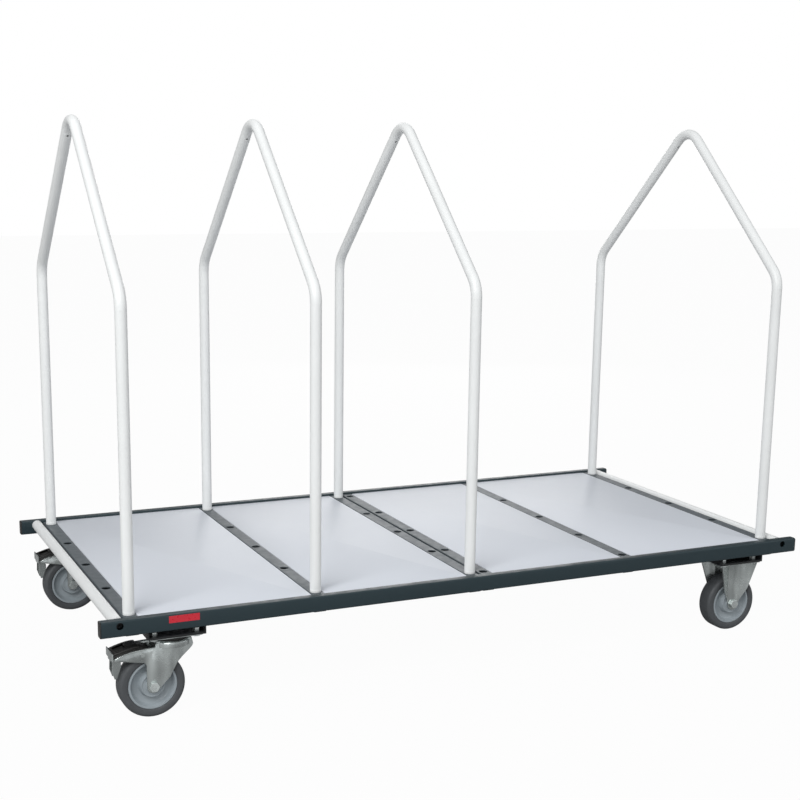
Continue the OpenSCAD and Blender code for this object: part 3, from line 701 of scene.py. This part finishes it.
class TROLLEY_OT_castors(bpy.types.Operator):
    """Make the wheels, tyres, forks, top plates and pedals, and finish the rest of the castors"""
    bl_idname = "trolley.castors"
    bl_label = "Castors"

    def execute(self, context):
        sizes = context.scene.trolley_sizes
        start = WHEELS["near_left"]
        wheel = wheel_centre("wheel_disc_near_left", start)
        tyre = solid_tyre("tyre_ring_near_left", start, sizes)
        for place, centre in WHEELS.items():
            disc, ring = wheel, tyre
            if place != "near_left":
                disc = copied(wheel, "wheel_disc_" + place, centre - start)
                ring = copied(tyre, "tyre_ring_" + place, centre - start)
            dressed(disc, "rim", place + "_roller", (place + "_wheel",))
            dressed(ring, "tyre", place + "_roller", (place + "_tyre",))
            paint_node(place + "_bracket", "black_steel", BRACKET_EDGE)
            paint_node(place + "_axle", "bright_zinc_and_painted_highlight", FINE_EDGE)
        shift = SWIVEL["far"] - SWIVEL["near"]
        fork, painted_highlight_edges = swivel_fork("fork_near_left", SWIVEL["near"])
        top = top_plate("top_plate_near_left", SWIVEL["near"], *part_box("near_left_castor_plate"))
        tread = pedal_tread("pedal_near_left", SWIVEL["near"])
        near_pieces = (fork, top, tread, painted_highlight_edges)
        far_pieces = [copied(obj, obj.name.replace("near", "far"), shift) for obj in near_pieces]
        for side, pieces in (("near", near_pieces), ("far", far_pieces)):
            fork, top, tread, painted_highlight_edges = pieces
            swivel = side + "_left_swivel"
            dressed(fork, "zinc", swivel, (side + "_left_fork",))
            dressed(top, "zinc", "base", (side + "_left_castor_plate",))
            dressed(tread, "black", side + "_left_pedal", (side + "_left_brake_tread",))
            # The brighter zinc on the arm edges is a painted highlight along the top of the fork arms
            dressed(painted_highlight_edges, "bright_zinc_and_painted_highlight", swivel)
            paint_node(side + "_left_kingpin", "bright_zinc_and_painted_highlight")
            paint_node(side + "_left_swivel_ring", "black", SMALL_EDGE)
            paint_node(side + "_left_brake_lever", "zinc", SMALL_EDGE)
            paint_node(side + "_left_brake_pin", "bright_zinc_and_painted_highlight", FINE_EDGE)
            paint_node(side + "_right_fork", "zinc", sizes.sheet_edge)
        paint_node("castor_bolts", "bright_zinc_and_painted_highlight", BOLT_EDGE)
        return {"FINISHED"}


# Stage

FLOOR_SIZE = 30
FLOOR_DROP = 0.0005
FLOOR_GREY = 0.42
FLOOR_GLOW_SHARE = 0.97

# The soft light is strongest from the side that it comes from and weakest from the side opposite
SOFT_LIGHT_COLOUR = (0.91, 0.93, 0.95, 1)
SOFT_LIGHT_SIDE = (-0.30, -0.95, 0)
SOFT_LIGHT_WEAKEST = 0.08
SOFT_LIGHT_STRONGEST = 1.04

# Name, place, aim, power in watts and size in metres of each lamp
LAMPS = (
    ("key", (-3.1, -2.9, 3.4), (0, 0, 0.4), 160, 2.6),
    ("fill", (3.6, -2.2, 2.6), (0.2, 0, 0.4), 20, 3.0),
    ("back", (0.8, 3.6, 3.0), (0, 0, 0.4), 22, 3.0),
    ("sheen", (1.7, 3.4, 1.2), (0.2, 0, 0.2), 26, 2.0),
)

# The camera looks along +Y when its turn is 0, and down by its pitch, with angles in degrees
CAMERA_PLACE = (-1.3208, -2.8152, 1.0296)
CAMERA_TURN = 24.928
CAMERA_PITCH = 11.921
CAMERA_ROLL = -0.828
CAMERA_LENS = 64.24
CAMERA_SENSOR = 36
CAMERA_SHIFT = 0.07


def pale_floor():
    """Pale matt floor that looks nearly white to the camera"""
    material = bpy.data.materials.new("pale_floor")
    material.use_nodes = True
    nodes, links = material.node_tree.nodes, material.node_tree.links
    shader = nodes["Principled BSDF"]
    shader.inputs["Base Color"].default_value = (FLOOR_GREY, FLOOR_GREY, FLOOR_GREY, 1)
    shader.inputs["Roughness"].default_value = 0.9
    glow = nodes.new("ShaderNodeEmission")
    glow.inputs["Strength"].default_value = 1.0
    ray = nodes.new("ShaderNodeLightPath")
    share = nodes.new("ShaderNodeMath")
    share.operation = "MULTIPLY"
    share.inputs[1].default_value = FLOOR_GLOW_SHARE
    links.new(ray.outputs["Is Camera Ray"], share.inputs[0])
    mix = nodes.new("ShaderNodeMixShader")
    links.new(share.outputs[0], mix.inputs[0])
    links.new(shader.outputs[0], mix.inputs[1])
    links.new(glow.outputs[0], mix.inputs[2])
    links.new(mix.outputs[0], nodes["Material Output"].inputs["Surface"])
    return material


def add_studio_world(scene):
    """White for the camera, and for the object a soft light that is strongest in front of it"""
    world = bpy.data.worlds.new("studio")
    scene.world = world
    world.use_nodes = True
    nodes, links = world.node_tree.nodes, world.node_tree.links
    soft = nodes["Background"]
    soft.inputs["Color"].default_value = SOFT_LIGHT_COLOUR
    place = nodes.new("ShaderNodeTexCoord")
    toward = nodes.new("ShaderNodeVectorMath")
    toward.operation = "DOT_PRODUCT"
    toward.inputs[1].default_value = SOFT_LIGHT_SIDE
    links.new(place.outputs["Generated"], toward.inputs[0])
    strength = between(nodes, links, toward.outputs["Value"], SOFT_LIGHT_WEAKEST, SOFT_LIGHT_STRONGEST,
                       value_low=-1.0, value_high=1.0)
    links.new(strength, soft.inputs["Strength"])
    white = nodes.new("ShaderNodeBackground")
    white.inputs["Color"].default_value = (1, 1, 1, 1)
    white.inputs["Strength"].default_value = 1.0
    ray = nodes.new("ShaderNodeLightPath")
    seen = nodes.new("ShaderNodeMath")
    seen.operation = "MAXIMUM"
    links.new(ray.outputs["Is Camera Ray"], seen.inputs[0])
    links.new(ray.outputs["Is Transmission Ray"], seen.inputs[1])
    mix = nodes.new("ShaderNodeMixShader")
    links.new(seen.outputs[0], mix.inputs[0])
    links.new(soft.outputs[0], mix.inputs[1])
    links.new(white.outputs[0], mix.inputs[2])
    links.new(mix.outputs[0], nodes["World Output"].inputs["Surface"])


def add_lamps(scene):
    for name, place, aim, power, size in LAMPS:
        light = bpy.data.lights.new(name, "AREA")
        light.energy = power
        light.size = size
        lamp = bpy.data.objects.new(name, light)
        lamp.location = place
        lamp.visible_camera = False
        lamp.rotation_euler = (Vector(aim) - Vector(place)).to_track_quat("-Z", "Y").to_euler()
        scene.collection.objects.link(lamp)


def add_camera(scene):
    turn, pitch, roll = math.radians(CAMERA_TURN), math.radians(CAMERA_PITCH), math.radians(CAMERA_ROLL)
    ahead = Vector((math.sin(turn) * math.cos(pitch), math.cos(turn) * math.cos(pitch), -math.sin(pitch)))
    right = Vector((math.cos(turn), -math.sin(turn), 0))
    down = ahead.cross(right)
    side = math.cos(roll) * right + math.sin(roll) * down
    foot = -math.sin(roll) * right + math.cos(roll) * down
    data = bpy.data.cameras.new("camera")
    data.sensor_width = CAMERA_SENSOR
    data.lens = CAMERA_LENS
    data.shift_y = CAMERA_SHIFT
    camera = bpy.data.objects.new("camera", data)
    facing = Matrix((side, -foot, -ahead)).transposed().to_4x4()
    camera.matrix_world = Matrix.Translation(CAMERA_PLACE) @ facing
    scene.collection.objects.link(camera)
    scene.camera = camera


class TROLLEY_OT_stage(bpy.types.Operator):
    """Set up the floor, the soft studio light and the camera"""
    bl_idname = "trolley.stage"
    bl_label = "Stage"

    def execute(self, context):
        scene = context.scene
        scene.view_settings.view_transform = "Standard"
        deselect()
        bpy.ops.mesh.primitive_plane_add(size=FLOOR_SIZE, location=(0, 0, -FLOOR_DROP))
        floor = context.object
        floor.name = "floor"
        floor.data.materials.append(pale_floor())
        add_studio_world(scene)
        add_lamps(scene)
        add_camera(scene)
        return {"FINISHED"}


# Panel and registration

class TROLLEY_PT_panel(bpy.types.Panel):
    """Sizes, colours and pieces of the trolley"""
    bl_idname = "TROLLEY_PT_panel"
    bl_label = "Mattress trolley"
    bl_space_type = "VIEW_3D"
    bl_region_type = "UI"
    bl_category = "Trolley"

    def draw(self, context):
        column = self.layout.column()
        for group in (context.scene.trolley_sizes, context.scene.trolley_colours):
            for name in group.__annotations__:
                column.prop(group, name)
        for operator in OPERATORS:
            column.operator(operator.bl_idname)


OPERATORS = (TROLLEY_OT_frame, TROLLEY_OT_deck, TROLLEY_OT_hoops, TROLLEY_OT_castors, TROLLEY_OT_stage)
CLASSES = (TrolleySizes, TrolleyColours, *OPERATORS, TROLLEY_PT_panel)


def register():
    for cls in CLASSES:
        bpy.utils.register_class(cls)
    bpy.types.Scene.trolley_sizes = bpy.props.PointerProperty(type=TrolleySizes)
    bpy.types.Scene.trolley_colours = bpy.props.PointerProperty(type=TrolleyColours)


def unregister():
    del bpy.types.Scene.trolley_colours
    del bpy.types.Scene.trolley_sizes
    for cls in reversed(CLASSES):
        bpy.utils.unregister_class(cls)


def main():
    register()
    make_materials(bpy.context.scene.trolley_colours)
    bpy.ops.trolley.frame()
    bpy.ops.trolley.deck()
    bpy.ops.trolley.hoops()
    bpy.ops.trolley.castors()
    bpy.ops.trolley.stage()


if __name__ == "__main__":
    main()
